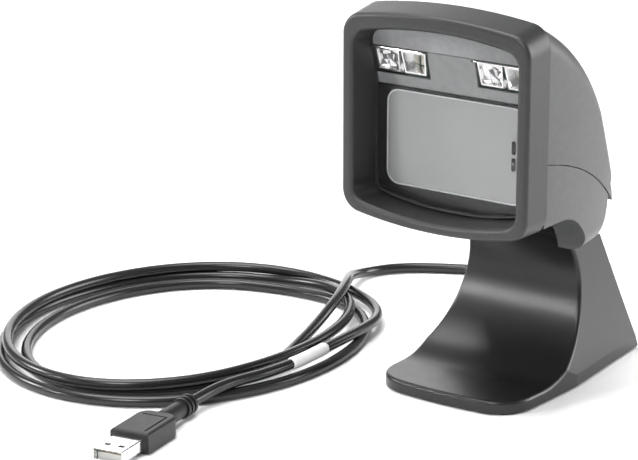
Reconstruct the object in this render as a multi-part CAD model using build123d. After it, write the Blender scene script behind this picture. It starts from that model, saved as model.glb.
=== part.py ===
"""Hands-free presentation barcode scanner: a window head that tilts on a sculpted stand, with its USB cord.

Frame: millimetres, +Z up, the window looks along -Y, +X is to the right of someone who faces the window.
The origin is the middle of the scanner's footprint, on the surface that it stands on.
"""
from build123d import *
from math import cos, pi, radians, sin, tan
import os

os.makedirs("parts", exist_ok=True)

# ---- head: bezel and housing ---------------------------------------------------------------
BEZEL_FRONT_Y = -54.0        # front face of the frame round the window
BEZEL_DEPTH = 13.5
BEZEL_WIDTH = 80.0           # at the front face
BEZEL_BOTTOM_Z = 71.2        # height of the front outline's lower corners
BEZEL_TOP_Z = 143.2          # height of the front outline's upper corners
BEZEL_TOP_BOW = 3.6          # the top edge rises this much in its middle
BEZEL_BOTTOM_BOW = 4.2       # the bottom edge drops this much in its middle
BEZEL_CORNER_R = 8.5
BEZEL_FLARE_TOP = 2.4        # the band is this much higher at its rear edge
BEZEL_FLARE_SIDE = 0.4
BEZEL_EDGE_R = 1.8
BORDER_SIDE = 4.8            # frame width beside the window opening
BORDER_TOP = 5.8
BORDER_BOTTOM = 4.1
OPENING_CORNER_R = 6.0
OPENING_TAPER = 1.0          # the opening is this much narrower, each side, at its rear
WALL = 2.0                   # moulded housing wall
HOUSING_STEP = 0.8           # the housing stands this far inside the bezel's rear outline
HOUSING_FRONT_Z = 146.4      # height of the crown where it meets the bezel
HOUSING_CROWN_MID = (-14.5, 131.6)   # y, z half way along the crown arc
HOUSING_SHOULDER = (8.0, 108.0)      # y, z where the crown arc meets the rear slope
HOUSING_ELBOW = (23.8, 78.5)         # y, z of the rearmost corner, before rounding
HOUSING_ELBOW_R = 8.0
HOUSING_EDGE_R = 8.5
HOUSING_MID_HALF = 37.9      # half-width half way back
HOUSING_REAR_HALF = 31.0     # half-width at the rearmost point
SEAM_CENTER = (-57.7, -20.1) # y, z centre of the arc that the side seam follows
SEAM_R = 117.4
SEAM_GAP = 0.3
LOWER_INSET = 0.3            # the lower cover stands this far inside the rear housing's surface
ARCH_CENTER = (-28.0, 49.5)  # y, z centre of the arch under the head
ARCH_R = 23.0

# ---- hinge ---------------------------------------------------------------------------------
HINGE_Y = 6.0
HINGE_Z = 68.0
LOBE_R = 13.2                # the head's two hinge lobes
BARREL_R = 12.2              # hinge barrel on top of the neck
BARREL_HALF = 21.4
BARREL_END_WALL = 3.5
SLOT_HALF = 24.5             # half the space between the lobes
LOBE_FLOOR_Z = 76.0          # the lobes are solid below this, apart from a pocket in each
POCKET_R = 8.6
POCKET_END = 32.4
SLOT_TOP_Z = 74.0            # ceiling of the space that the neck swings in
SOCKET_CLEARANCE = 1.3       # between the barrel and its socket in the head
PIN_R = 4.0
PIN_BORE_R = 2.4
PIN_HALF = 28.4
PIN_RUNNING_FIT = 0.05       # radial, between the pin and the pieces that turn on it
BUSH_R = 6.0
BUSH_FLANGE_R = 8.0
BUSH_FLANGE_T = 0.8
WASHER_GAP = 0.15            # each side of a thrust washer
WASHER_BORE_GAP = 0.3
RETAINER_R = 6.2
RETAINER_T = 1.0
FRICTION_CLIP_R = 6.4
FRICTION_CLIP_HALF = 8.0
FRICTION_CLIP_SLOT = 1.6

# ---- window and optics ---------------------------------------------------------------------
PANE_CLEARANCE = 0.4         # between the pane's edge and the opening's narrow end
PANE_T = 1.8
PANE_Y = -41.0               # front of the upright part of the pane
PANE_BOTTOM_Z = 72.7
PANE_BEND_Z = 116.0          # above this the pane leans forward
PANE_TOP = (-47.5, 141.5)    # y, z of the pane's top front edge
MASK_T = 1.0
MASK_OPENING_HALF = 30.0
MASK_OPENING_Z = (78.6, 114.8)
MASK_CORNER_R = 5.0
PANEL_T = 0.7                # panels behind the leaning part of the pane
PANEL_GAP = 0.3
FRAME_T = 1.6                # plate that carries the optics
FRAME_HALF = 36.9
FRAME_Z = (77.0, 137.0)
FRAME_CORNER_R = 6.0
CHAMBER_WALL = 1.2
CHAMBER_REAR_Y = -5.0
MIRROR_FOOT = (-32.0, 80.2)  # y, z of the mirror's lowest front edge
MIRROR_T = 1.5
MIRROR_LENGTH = 36.0
MIRROR_HALF = 28.5
MIRROR_LEAN = 45.0
REFLECTOR_X = (10.4, 34.0)
REFLECTOR_Z = (120.6, 130.6)
REFLECTOR_FRONT_Y = -44.6
REFLECTOR_REAR_Y = -34.6
REFLECTOR_THROAT = 4.2       # square opening at the back of each reflector cell
REFLECTOR_T = 0.6
LED_BOARD_T = 1.6
LED_BOARD_MARGIN = 1.5
LED_BASE = 3.2
LED_BASE_T = 0.6
LED_DOME_R = 1.3
IMAGER_SIZE = (22.0, 13.0, 10.5)
IMAGER_Y = -22.0
LENS_R = 4.0
LENS_LENGTH = 5.0
LENS_HOLE_GAP = 0.3
BOARD_SIZE = (50.0, 30.0, 1.6)
BOARD_GAP = 4.5              # between the chamber's sloping wall and the main board
BOARD_ALONG = 21.0           # the board's middle, measured up the slope from the mirror's foot
CHIP_T = 1.2
PROCESSOR_SIZE = 12.0
MEMORY_SIZE = 8.0
CONNECTOR_SIZE = (12.0, 5.0, 3.6)
BEEPER_R = 5.0
BEEPER_T = 3.2
SCREW_R = 1.0
SCREW_HEAD_R = 1.7
SCREW_HEAD_T = 1.3
SCREW_BITE = 4.0             # depth of the thread in the bezel
HEAD_SCREW_X = 35.7
HEAD_SCREW_Z = (84.0, 132.0)

# ---- stand ---------------------------------------------------------------------------------
FOOT_FRONT_Y = -48.1
FOOT_REAR_Y = 54.0
FOOT_HALF = 32.0             # widest half-width of the foot
FOOT_FRONT_HALF = 30.5
FOOT_REAR_HALF = 26.6
FOOT_FRONT_BOW = 3.0
FOOT_WIDEST_Y = 0.0
FOOT_FRONT_R = 15.0
FOOT_THICKNESS = 5.4         # height of the foot's upper surface
FLARE_FRONT_HALF = 36.5      # half-width that the flare aims at, in the plane of the foot's front
FOOT_GAP = 0.8               # the rubber feet lift the stand this much
SCOOP_CENTER_Y = -25.8       # the hollow front is an arc that starts under this centre ...
SCOOP_R = 35.4               # ... with this radius, then a tighter one up to the tongue
SCOOP_TURN = -10.0           # direction, in degrees, where the radius changes
TONGUE_R = 24.0
TONGUE_END = 88.0            # direction, in degrees, where the tongue's underside ends
TONGUE_TIP = 2.0             # height of the tongue's blunt tip
SHOULDER_Z = 52.5
SHOULDER_HALF = 23.6
WAIST_Z = 26.0
WAIST_FRONT_HALF = 30.7      # half-widths half way up, in the planes of the foot's front and rear
WAIST_REAR_HALF = 24.5
BACK_TOP_Y = 26.4            # the straight back's y at the shoulder
STAND_WALL = 2.2
STAND_EDGE_R = 1.4
NECK_RIM_X = 15.0            # the stand's outer rim lies further out than this
COVER_HALF = 19.0            # back cover
COVER_Z = (3.6, 49.0)
COVER_T = 1.8
COVER_RECESS = 0.5
COVER_CLEARANCE = 0.2
PLATE_T = 1.4                # base plate
PLATE_CLEARANCE = 0.2
BALLAST_SIZE = (36.0, 34.0, 5.6)
BALLAST_Y = 21.0
PAD_R = 4.5
PAD_SEAT = 0.6
PAD_CLEARANCE = 0.1
PAD_PLACES = ((16.0, -34.0), (19.0, 41.0))
BASE_SCREW_PLACES = ((25.2, 8.0), (24.8, 34.0))
BASE_SCREW_HEAD_T = 0.6
BASE_SCREW_LENGTH = 10.0
BOSS_R = 2.8
BOSS_TOP_Z = 18.0
CLAMP_SIZE = (14.0, 8.0, 8.0)

# ---- cord ----------------------------------------------------------------------------------
CORD_D = 4.2
INNER_LEAD_D = 3.2
EXIT_Z = 8.6
RELIEF_END_Y = 67.0          # free end of the strain relief at the stand's back
RELIEF_R = 4.4
RELIEF_TIP_R = 2.9
RELIEF_FLANGE_R = 5.4
RELIEF_FLANGE_T = 1.4
RELIEF_FLANGE_Y = 43.8
TAIL_POINTS = (
    (0.0, RELIEF_END_Y, EXIT_Z),
    (-1.5, 83.0, 5.2),
    (-14.0, 98.0, 2.2),
    (-36.0, 104.5, 2.2),
    (-62.0, 102.0, 2.2),
    (-86.0, 92.5, 2.2),
    (-106.0, 79.5, 2.2),
    (-113.5, 63.5, 2.4),
    (-107.5, 45.5, 6.8),
    (-96.5, 29.0, 10.7),
    (-86.0, 7.0, 10.6),
    (-81.5, -14.0, 5.2),
    (-77.6, -34.0, 2.3),
    (-72.0, -51.0, 2.2),
)
LEAD_POINTS = (
    (-64.6, -84.0, 6.4),
    (-66.2, -93.5, 6.3),
    (-67.4, -102.5, 5.2),
    (-67.5, -110.5, 4.3),
)
INNER_LEAD_POINTS = (
    (0.0, 46.0, EXIT_Z),
    (0.0, 36.0, 11.5),
    (0.0, 27.0, 18.0),
    (0.0, 21.0, 29.0),
    (0.0, 17.0, 41.0),
    (0.0, 10.0, 52.0),
    (0.0, HINGE_Y, 60.5),
)
HEAD_LEAD_POINTS = (
    (29.8, HINGE_Y, HINGE_Z),
    (30.4, 3.0, 74.0),
    (29.0, -3.0, 82.0),
    (24.0, -4.0, 88.0),
    (16.5, -8.6, 85.4),
)
COIL_CENTER = (-124.3, -45.0)
COIL_LONG = 75.0             # half-axes of the coil's middle line
COIL_SHORT = 60.5
COIL_TILT = 98.0             # direction of the long axis, in degrees from +X
COIL_BAND_HALF = 8.6         # half the width that the strands take up
COIL_HEIGHT = 8.4
COIL_EDGE_R = 2.0
LABEL_T = 0.3
LABEL_LENGTH = 23.0
LABEL_CENTER = (-63.0, -46.0, 6.4)
LABEL_HEADING = -87.0        # in degrees from +X

# ---- USB plug, lying beyond the coil -------------------------------------------------------
PLUG_HEADING = -80.0         # in degrees from +X
PLUG_RELIEF_LENGTH = 20.0
PLUG_RELIEF_R = (2.8, 3.6)   # at the cord and at the overmould
PLUG_RIB_T = 1.3
PLUG_RIB_PITCH = 2.5
PLUG_RIB_R = 3.9
PLUG_RIBS = 3
OVERMOULD = (23.0, 15.6, 8.0)
OVERMOULD_EDGE_R = 1.3
OVERMOULD_REAR_R = 5.0
GROOVE_T = 0.7
GROOVE_DEPTH = 0.4
GROOVE_MARGIN = 2.6
SHELL = (15.0, 12.0, 4.5)
SHELL_T = 0.35
SHELL_SEAT = 1.5             # depth of the shell's seat in the overmould
LATCH_HOLE = 2.4
LATCH_SPACING = 5.6
LATCH_FROM_TIP = 5.2
TONGUE_BLOCK = (14.0, 10.8, 1.8)
CONTACT = (8.0, 1.2, 0.25)
CONTACT_PITCH = 2.4

BEZEL_HALF = BEZEL_WIDTH / 2
BEZEL_REAR_Y = BEZEL_FRONT_Y + BEZEL_DEPTH
PANE_REAR_Y = PANE_Y + PANE_T
MASK_REAR_Y = PANE_REAR_Y + MASK_T
FRAME_REAR_Y = MASK_REAR_Y + FRAME_T


def emit(name, shape):
    """Write one named part."""
    shape.label = name
    export_step(shape, f"parts/{name}.step")


def side_slab(outline, half):
    """Extrude an outline drawn in y and z to both sides of the middle plane."""
    return extrude(Plane.YZ * outline, amount=half, both=True)


def front_slab(outline, y0, y1):
    """Extrude an outline drawn in x and z from depth y0 to depth y1."""
    plane = Plane(origin=(0, y1, 0), x_dir=(1, 0, 0), z_dir=(0, -1, 0))
    return extrude(plane * outline, amount=y1 - y0)


def at_depth(outline, y):
    """Place an outline drawn in x and z at depth y."""
    return (Plane(origin=(0, y, 0), x_dir=(1, 0, 0), z_dir=(0, -1, 0)) * outline).face()


def both_sides(shape):
    """The shape with its mirror image across the middle plane."""
    return Part() + [shape, mirror(shape, about=Plane.YZ)]


def box_between(low, high):
    """Box between two opposite corners."""
    middle = [(a + b) / 2 for a, b in zip(low, high)]
    return Pos(*middle) * Box(*[b - a for a, b in zip(low, high)])


def clipped(shape, region):
    """The part of a shape that lies inside a region."""
    return shape - (shape - region)


def x_rod(radius, x0, x1):
    """Cylinder along the hinge axis."""
    return Pos((x0 + x1) / 2, HINGE_Y, HINGE_Z) * Rot(0, 90, 0) * Cylinder(radius, x1 - x0)


def y_rod(radius, y0, y1, x, z):
    """Cylinder along Y."""
    return Pos(x, (y0 + y1) / 2, z) * Rot(90, 0, 0) * Cylinder(radius, y1 - y0)


def z_rod(radius, z0, z1, x, y):
    """Cylinder along Z."""
    return Pos(x, y, (z0 + z1) / 2) * Cylinder(radius, z1 - z0)


def box_outline(x0, x1, z0, z1, corner=0.0):
    """Rectangle in x and z, with round corners if a radius is given."""
    face = Rectangle(x1 - x0, z1 - z0) if not corner else RectangleRounded(x1 - x0, z1 - z0, corner)
    return Pos((x0 + x1) / 2, (z0 + z1) / 2) * face


def bowed_frame(half, bottom, top, bottom_bow, top_bow, corner):
    """Outline in x and z with straight sides, bowed top and bottom edges and round corners."""
    lines = Line((half, bottom), (half, top))
    lines += ThreePointArc((half, top), (0, top + top_bow), (-half, top))
    lines += Line((-half, top), (-half, bottom))
    lines += ThreePointArc((-half, bottom), (0, bottom - bottom_bow), (half, bottom))
    face = make_face(lines)
    return fillet(face.vertices(), corner)


def opening_outline(shrink):
    """Outline of the bezel's opening, smaller all round by shrink."""
    return bowed_frame(BEZEL_HALF - BORDER_SIDE - shrink, BEZEL_BOTTOM_Z + BORDER_BOTTOM + shrink / 2,
                       BEZEL_TOP_Z - BORDER_TOP - shrink / 2, BEZEL_BOTTOM_BOW, BEZEL_TOP_BOW,
                       OPENING_CORNER_R)


# ---- head ----------------------------------------------------------------------------------
def make_bezel():
    """Deep frame round the window: a flared band with a tapering opening and screw holes."""
    front = bowed_frame(BEZEL_HALF, BEZEL_BOTTOM_Z, BEZEL_TOP_Z, BEZEL_BOTTOM_BOW,
                        BEZEL_TOP_BOW, BEZEL_CORNER_R)
    rear = bowed_frame(BEZEL_HALF + BEZEL_FLARE_SIDE, BEZEL_BOTTOM_Z, BEZEL_TOP_Z + BEZEL_FLARE_TOP,
                       BEZEL_BOTTOM_BOW, BEZEL_TOP_BOW, BEZEL_CORNER_R)
    band = loft([at_depth(rear, BEZEL_REAR_Y), at_depth(front, BEZEL_FRONT_Y)], ruled=True)
    opening = loft([at_depth(opening_outline(OPENING_TAPER), BEZEL_REAR_Y),
                    at_depth(opening_outline(0), BEZEL_FRONT_Y)], ruled=True)
    frame = band - opening
    front_edges = [e for e in frame.edges() if abs(e.center().Y - BEZEL_FRONT_Y) < 0.01]
    frame = fillet(front_edges, BEZEL_EDGE_R)
    for z in HEAD_SCREW_Z:
        frame -= both_sides(y_rod(SCREW_R, BEZEL_REAR_Y - SCREW_BITE, BEZEL_REAR_Y, HEAD_SCREW_X, z))
    return frame


def head_profile():
    """Side outline of the head behind the bezel: crown, rear slope, hinge lobe and arch."""
    arch_top = ARCH_CENTER[1] + ARCH_R
    front_bottom = (BEZEL_REAR_Y, arch_top)
    front_top = (BEZEL_REAR_Y, HOUSING_FRONT_Z)
    lobe_rear = (HINGE_Y + LOBE_R, HINGE_Z)
    lobe_low = (HINGE_Y, HINGE_Z - LOBE_R)
    lobe_corner = (HINGE_Y - LOBE_R, HINGE_Z - LOBE_R)
    lines = Line(front_bottom, front_top)
    lines += ThreePointArc(front_top, HOUSING_CROWN_MID, HOUSING_SHOULDER)
    lines += Line(HOUSING_SHOULDER, HOUSING_ELBOW)
    lines += Line(HOUSING_ELBOW, lobe_rear)
    lines += Line(lobe_rear, lobe_low)
    lines += Line(lobe_low, lobe_corner)
    lines += Line(lobe_corner, (ARCH_CENTER[0], arch_top))
    lines += Line((ARCH_CENTER[0], arch_top), front_bottom)
    outline = make_face(lines)
    outline = fillet(outline.vertices().sort_by(Axis.X)[-1], HOUSING_ELBOW_R)
    outline += Pos(HINGE_Y, HINGE_Z) * Circle(LOBE_R)
    return outline - Pos(*ARCH_CENTER) * Circle(ARCH_R)


def head_plan():
    """Plan outline of the head behind the bezel, narrowing to the rear."""
    half = BEZEL_HALF + BEZEL_FLARE_SIDE - HOUSING_STEP
    rear_y = HOUSING_ELBOW[0] + 1.0
    middle_y = (BEZEL_REAR_Y + rear_y) / 2
    lines = Line((-half, BEZEL_REAR_Y), (half, BEZEL_REAR_Y))
    lines += ThreePointArc((half, BEZEL_REAR_Y), (HOUSING_MID_HALF, middle_y), (HOUSING_REAR_HALF, rear_y))
    lines += Line((HOUSING_REAR_HALF, rear_y), (-HOUSING_REAR_HALF, rear_y))
    lines += ThreePointArc((-HOUSING_REAR_HALF, rear_y), (-HOUSING_MID_HALF, middle_y),
                           (-half, BEZEL_REAR_Y))
    return make_face(lines)


def is_top_rim(edge):
    """True for the long edges between the head's sides and its crown and rear slope."""
    middle = edge.center()
    on_side = abs(middle.X) > HOUSING_REAR_HALF - HOUSING_EDGE_R
    return on_side and middle.Z > HOUSING_ELBOW[1] and middle.Y > BEZEL_REAR_Y + HOUSING_EDGE_R


def head_block(inset):
    """The head behind the bezel as a solid, smaller all round by inset."""
    profile = offset(head_profile(), -inset) if inset else head_profile()
    plan = offset(head_plan(), -inset) if inset else head_plan()
    block = side_slab(profile, BEZEL_HALF) & extrude(plan, amount=HOUSING_FRONT_Z + 10)
    return fillet([e for e in block.edges() if is_top_rim(e)], HOUSING_EDGE_R - inset)


def neck_space(grow):
    """Space in the head that the neck and its barrel swing in, larger all round by grow."""
    half = SLOT_HALF + grow
    below = HINGE_Z - 3 * LOBE_R
    behind = HOUSING_ELBOW[0] + LOBE_R
    swing = box_between((-half, ARCH_CENTER[0] - grow, below), (half, behind, SLOT_TOP_Z + grow))
    return swing + x_rod(BARREL_R + SOCKET_CLEARANCE + grow, -half, half)


def seam_cylinder(radius):
    """Everything below an arc across the head's sides."""
    return side_slab(Pos(*SEAM_CENTER) * Circle(radius), BEZEL_WIDTH)


def head_cavity():
    """Hollow inside the head's shell, open behind the window, with a pocket in each hinge lobe."""
    mouth = front_slab(opening_outline(OPENING_TAPER), BEZEL_REAR_Y - WALL, BEZEL_REAR_Y + 2 * WALL)
    low = box_between((-BEZEL_WIDTH, BEZEL_FRONT_Y, 0), (BEZEL_WIDTH, 2 * HOUSING_ELBOW[0], LOBE_FLOOR_Z))
    pocket = x_rod(POCKET_R, SLOT_HALF + WALL, POCKET_END)
    pocket += box_between((SLOT_HALF + WALL, HINGE_Y - POCKET_R, HINGE_Z),
                          (POCKET_END, HINGE_Y + POCKET_R, LOBE_FLOOR_Z + WALL))
    return head_block(WALL) - low - neck_space(WALL) + mouth + both_sides(pocket)


def head_screw_holes(radius):
    """Clearance for the four screws that hold the head together."""
    holes = Part()
    for z in HEAD_SCREW_Z:
        holes += both_sides(y_rod(radius, BEZEL_REAR_Y - WALL, FRAME_REAR_Y + WALL, HEAD_SCREW_X, z))
    return holes


def make_head_shells():
    """Rear housing above the seam, and lower cover with the hinge lobes and the barrel's socket."""
    cavity = head_cavity()
    holes = head_screw_holes(SCREW_R)
    rear = head_block(0) - seam_cylinder(SEAM_R + SEAM_GAP) - cavity
    rear = rear - neck_space(WALL + SEAM_GAP) - holes
    skin = head_block(LOWER_INSET)
    lower = clipped(skin, seam_cylinder(SEAM_R)) + clipped(skin, neck_space(WALL))
    lower = lower - cavity - neck_space(0) - holes
    lower -= x_rod(PIN_R, -PIN_HALF, PIN_HALF)
    return rear, lower


def bent_pane(front, thickness, z0, z1):
    """Slab that follows the pane's upright and leaning parts, from height z0 to height z1."""
    lean = (PANE_TOP[0] - PANE_Y) / (PANE_TOP[1] - PANE_BEND_Z)
    top_y = front + lean * (PANE_TOP[1] - PANE_BEND_Z)
    outline = Polyline((front, PANE_BOTTOM_Z - 10), (front, PANE_BEND_Z), (top_y, PANE_TOP[1]),
                       (top_y + thickness, PANE_TOP[1]), (front + thickness, PANE_BEND_Z),
                       (front + thickness, PANE_BOTTOM_Z - 10), close=True)
    band = box_between((-BEZEL_HALF, BEZEL_FRONT_Y, z0), (BEZEL_HALF, 0, z1))
    return side_slab(make_face(outline), BEZEL_HALF) & band


def opening_prism(shrink):
    """The opening's outline run back through the window's parts."""
    return front_slab(opening_outline(OPENING_TAPER + shrink), BEZEL_FRONT_Y, 0)


def make_window_parts():
    """Pane, black mask, and the two panels behind the leaning part."""
    prism = opening_prism(PANE_CLEARANCE)
    pane = bent_pane(PANE_Y, PANE_T, PANE_BOTTOM_Z, PANE_TOP[1]) & prism
    mask = bent_pane(PANE_REAR_Y, MASK_T, PANE_BOTTOM_Z, PANE_BEND_Z) & prism
    z0, z1 = MASK_OPENING_Z
    hole = box_outline(-MASK_OPENING_HALF, MASK_OPENING_HALF, z0, z1, MASK_CORNER_R)
    mask -= front_slab(hole, PANE_Y - 1, MASK_REAR_Y + 1)
    panel_y = PANE_REAR_Y + PANEL_GAP
    lower = bent_pane(panel_y, PANEL_T, PANE_BEND_Z + PANEL_GAP, REFLECTOR_Z[1] + PANEL_GAP) & prism
    upper = bent_pane(panel_y, PANEL_T, REFLECTOR_Z[1] + 2 * PANEL_GAP, PANE_TOP[1] - 1) & prism
    cut = box_outline(REFLECTOR_X[0] - PANEL_GAP, BEZEL_HALF, REFLECTOR_Z[0] - PANEL_GAP,
                      REFLECTOR_Z[1] + 1)
    lower -= both_sides(front_slab(cut, BEZEL_FRONT_Y, 0))
    return pane, mask, lower, upper


def reflector_cell(x0, x1):
    """One square funnel that opens forward, with its throat round a light source."""
    middle = ((x0 + x1) / 2, sum(REFLECTOR_Z) / 2)
    shapes = []
    for shrink in (0, REFLECTOR_T):
        mouth = box_outline(x0 + shrink, x1 - shrink, REFLECTOR_Z[0] + shrink, REFLECTOR_Z[1] - shrink)
        side = REFLECTOR_THROAT + 2 * (REFLECTOR_T - shrink)
        throat = Pos(*middle) * Rectangle(side, side)
        shapes.append(loft([at_depth(throat, REFLECTOR_REAR_Y), at_depth(mouth, REFLECTOR_FRONT_Y)],
                           ruled=True))
    return shapes[0] - shapes[1]


def make_reflector():
    """Two joined reflector cells on the right-hand side, trimmed behind the pane."""
    x0, x1 = REFLECTOR_X
    middle = (x0 + x1) / 2
    cells = reflector_cell(x0, middle + REFLECTOR_T / 2) + reflector_cell(middle - REFLECTOR_T / 2, x1)
    behind_pane = bent_pane(PANE_REAR_Y + PANEL_GAP, 4 * WALL + PANEL_T, PANE_BEND_Z, PANE_TOP[1])
    return cells & behind_pane & opening_prism(PANE_CLEARANCE)


def led_places():
    """x and z of each light source, at the middle of its reflector cell."""
    x0, x1 = REFLECTOR_X
    quarter = (x1 - x0) / 4
    z = sum(REFLECTOR_Z) / 2
    return [(side * x, z) for side in (-1, 1) for x in (x0 + quarter, x1 - quarter)]


def make_led_parts():
    """Board behind the reflectors, and its light sources."""
    half = REFLECTOR_X[1]
    front_y = REFLECTOR_REAR_Y + LED_BASE_T / 2
    z0, z1 = REFLECTOR_Z
    plate = box_outline(-half, half, z0 - LED_BOARD_MARGIN, z1 + LED_BOARD_MARGIN, LED_BOARD_MARGIN)
    board = front_slab(plate, front_y, front_y + LED_BOARD_T)
    leds = Part()
    for x, z in led_places():
        base = box_between((x - LED_BASE / 2, front_y - LED_BASE_T, z - LED_BASE / 2),
                           (x + LED_BASE / 2, front_y, z + LED_BASE / 2))
        dome = Pos(x, front_y - LED_BASE_T, z) * Sphere(LED_DOME_R)
        leds += base + (dome - box_between((x - 5, front_y, z - 5), (x + 5, front_y + 5, z + 5)))
    return board, leds


def on_slope(along, depth, x=0.0):
    """Place on the mirror's slope: along it from its foot, and depth behind its front face."""
    lean = radians(MIRROR_LEAN)
    y = MIRROR_FOOT[0] + along * cos(lean) + depth * sin(lean)
    z = MIRROR_FOOT[1] + along * sin(lean) - depth * cos(lean)
    return Pos(x, y, z) * Rot(MIRROR_LEAN, 0, 0)


def slope_box(size, along, depth, x=0.0):
    """Box on the slope: width, length and thickness, its front face at the given depth."""
    return on_slope(along, depth + size[2] / 2, x) * Box(*size)


def make_mirror():
    """Fold mirror lying on the chamber's slope."""
    return slope_box((2 * MIRROR_HALF, MIRROR_LENGTH, MIRROR_T), MIRROR_LENGTH / 2, 0.0)


def make_chamber():
    """Light-coloured chamber: open to the mask and, behind, closed by a slope that carries the mirror."""
    z0, z1 = MASK_OPENING_Z
    foot = MIRROR_FOOT[0] - (MIRROR_FOOT[1] - z0)
    rise = CHAMBER_REAR_Y - foot
    inner = Polyline((FRAME_REAR_Y, z0), (foot, z0), (CHAMBER_REAR_Y, z0 + rise), (CHAMBER_REAR_Y, z1),
                     (FRAME_REAR_Y, z1), close=True)
    lean = radians(MIRROR_LEAN)
    inner = make_face(inner)
    inner += Pos(MIRROR_T * sin(lean), -MIRROR_T * cos(lean)) * inner
    outer = offset(inner, CHAMBER_WALL, kind=Kind.INTERSECTION)
    walls = side_slab(outer, MASK_OPENING_HALF + CHAMBER_WALL)
    walls -= side_slab(inner, MASK_OPENING_HALF)
    walls -= box_between((-BEZEL_WIDTH, BEZEL_FRONT_Y, 0), (BEZEL_WIDTH, FRAME_REAR_Y, HOUSING_FRONT_Z))
    walls -= front_slab(box_outline(-MASK_OPENING_HALF, MASK_OPENING_HALF, z0, z1), PANE_Y, foot)
    walls -= z_rod(LENS_R + LENS_HOLE_GAP, z1 - 1, z1 + 2 * CHAMBER_WALL, 0, IMAGER_Y)
    return walls


def make_optics_frame():
    """Plate that carries mask, chamber and boards, with standoffs at its four screws."""
    z0, z1 = FRAME_Z
    outline = box_outline(-FRAME_HALF, FRAME_HALF, z0, z1, FRAME_CORNER_R)
    plate = front_slab(outline, MASK_REAR_Y, FRAME_REAR_Y)
    for z in HEAD_SCREW_Z:
        plate += both_sides(y_rod(SCREW_HEAD_R, BEZEL_REAR_Y + WALL, MASK_REAR_Y + 0.1, HEAD_SCREW_X, z))
    half = MASK_OPENING_HALF
    plate -= front_slab(box_outline(-half, half, *MASK_OPENING_Z), PANE_Y, FRAME_REAR_Y + 1)
    lights = box_outline(-REFLECTOR_X[1] - 1, REFLECTOR_X[1] + 1, REFLECTOR_Z[0] - LED_BOARD_MARGIN,
                         REFLECTOR_Z[1] + LED_BOARD_MARGIN)
    plate -= front_slab(lights, PANE_Y, FRAME_REAR_Y + 1)
    return plate - head_screw_holes(SCREW_R)


def make_head_screws():
    """Four screws from the optics plate through the shells into the bezel."""
    screws = Part()
    for z in HEAD_SCREW_Z:
        shank = y_rod(SCREW_R, BEZEL_REAR_Y - SCREW_BITE, FRAME_REAR_Y, HEAD_SCREW_X, z)
        cap = y_rod(SCREW_HEAD_R, FRAME_REAR_Y, FRAME_REAR_Y + SCREW_HEAD_T, HEAD_SCREW_X, z)
        screws += both_sides(shank + cap)
    return screws


def make_imager():
    """Imager body above the chamber, and its lens that looks down at the mirror."""
    floor = MASK_OPENING_Z[1] + CHAMBER_WALL
    body = Pos(0, IMAGER_Y, floor + IMAGER_SIZE[2] / 2) * Box(*IMAGER_SIZE)
    body = fillet(body.edges().filter_by(Axis.Z), 1.0)
    lens = z_rod(LENS_R, floor - LENS_LENGTH, floor, 0, IMAGER_Y)
    return body, lens


def make_board_parts():
    """Main board on the slope behind the chamber, with its chips, connector and beeper."""
    depth = MIRROR_T + CHAMBER_WALL + BOARD_GAP
    back = depth + BOARD_SIZE[2]
    board = slope_box(BOARD_SIZE, BOARD_ALONG, depth)
    chips = slope_box((PROCESSOR_SIZE, PROCESSOR_SIZE, CHIP_T), BOARD_ALONG - 4, back, -8.0)
    chips += slope_box((MEMORY_SIZE, MEMORY_SIZE, CHIP_T), BOARD_ALONG + 8, back, -12.0)
    connector = slope_box(CONNECTOR_SIZE, BOARD_ALONG - 9, back, 15.0)
    beeper = on_slope(BOARD_ALONG + 8, back + BEEPER_T / 2, 8.0) * Cylinder(BEEPER_R, BEEPER_T)
    posts = Part()
    for x in (-1, 1):
        for along in (-1, 1):
            place = on_slope(BOARD_ALONG + along * (BOARD_SIZE[1] / 2 - 3), depth - BOARD_GAP / 2,
                             x * (BOARD_SIZE[0] / 2 - 3))
            posts += place * Cylinder(SCREW_HEAD_R, BOARD_GAP)
    return board, chips, connector, beeper, posts


# ---- hinge ---------------------------------------------------------------------------------
def make_hinge_parts():
    """Hollow pin, bushes, thrust washers, retainers and the clip that gives the hinge its friction."""
    bore = PIN_R + PIN_RUNNING_FIT
    pin = x_rod(PIN_R, -PIN_HALF, PIN_HALF) - x_rod(PIN_BORE_R, -PIN_HALF, PIN_HALF)
    flange_x = BARREL_HALF + BUSH_FLANGE_T
    bush = x_rod(BUSH_R, BARREL_HALF - BARREL_END_WALL, BARREL_HALF)
    bush += x_rod(BUSH_FLANGE_R, BARREL_HALF, flange_x)
    bush -= x_rod(bore, 0, flange_x)
    washer = x_rod(BUSH_FLANGE_R, flange_x + WASHER_GAP, SLOT_HALF - WASHER_GAP)
    washer -= x_rod(PIN_R + WASHER_BORE_GAP, 0, SLOT_HALF)
    inside = SLOT_HALF + WALL
    retainer = x_rod(RETAINER_R, inside, inside + RETAINER_T) - x_rod(PIN_R, 0, 2 * inside)
    clip = x_rod(FRICTION_CLIP_R, -FRICTION_CLIP_HALF, FRICTION_CLIP_HALF) - x_rod(bore, -PIN_HALF, PIN_HALF)
    slot = FRICTION_CLIP_SLOT / 2
    ear_t = slot + FRICTION_CLIP_R - PIN_R
    wall_y = HINGE_Y - (BARREL_R - STAND_WALL) + 0.3
    clip += box_between((-FRICTION_CLIP_HALF, wall_y, HINGE_Z - ear_t),
                        (FRICTION_CLIP_HALF, HINGE_Y - bore - 0.2, HINGE_Z + ear_t))
    clip -= box_between((-FRICTION_CLIP_HALF, wall_y - 1, HINGE_Z - slot),
                        (FRICTION_CLIP_HALF, HINGE_Y, HINGE_Z + slot))
    return pin, bush, both_sides(washer), both_sides(retainer), clip


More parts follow.
